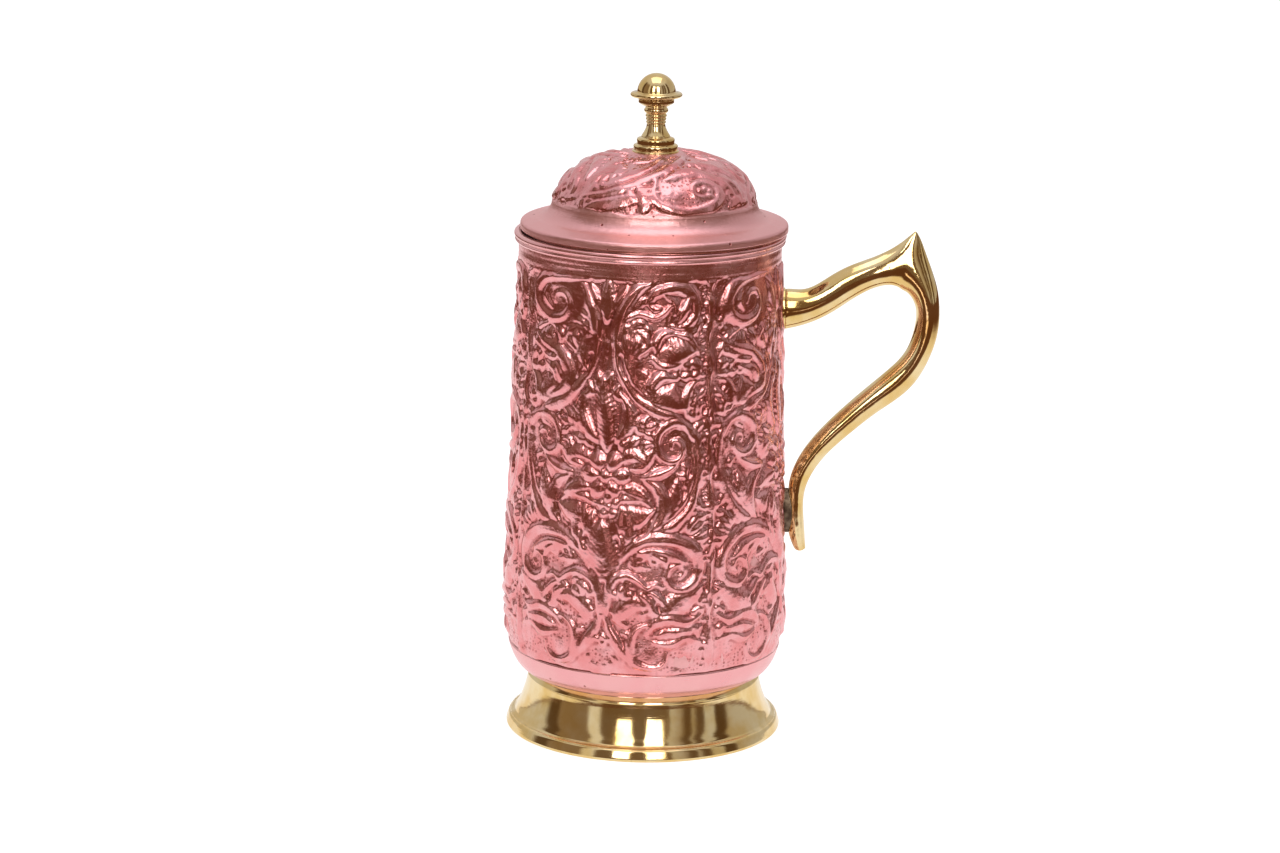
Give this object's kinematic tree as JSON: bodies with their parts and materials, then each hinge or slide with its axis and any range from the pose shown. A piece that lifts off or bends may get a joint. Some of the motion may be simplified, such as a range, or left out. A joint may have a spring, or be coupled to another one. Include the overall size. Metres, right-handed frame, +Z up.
{
  "type": "water jug",
  "caption": "Tall lidded copper water jug with an embossed body, flared brass foot, curved brass handle with a pointed thumb rest, and a domed lift-off lid with a brass knob.",
  "frame": {"origin": "centre of the foot's resting plane, on the body's axis", "axes": "+Z up along the body's axis, +X towards the handle"},
  "size_m": [0.1746, 0.1144, 0.27],
  "materials": {
    "embossed_copper": "polished, hand-embossed relief",
    "copper": "polished",
    "brass": "polished, lightly turned",
    "solder": "dull grey solder",
    "steel": "plain steel"
  },
  "bodies": {
    "vessel": {"body_wall": "embossed_copper", "rim_band": "copper", "bottom_cup": "copper", "brass_foot": "brass", "handle": "brass", "handle_upper_collar": "brass", "handle_lower_pad": "solder", "handle_screws": "steel", "handle_washers": "steel"},
    "lid": {"lid_shell": "embossed_copper", "lid_collar": "copper", "knob": "brass", "knob_screw": "steel", "knob_washer": "steel"}
  },
  "joints": [
    {"name": "lid_lift", "type": "slide", "parent": "vessel", "child": "lid", "axis": [0, 0, 1], "range_m": [0, 0.028]}
  ]
}
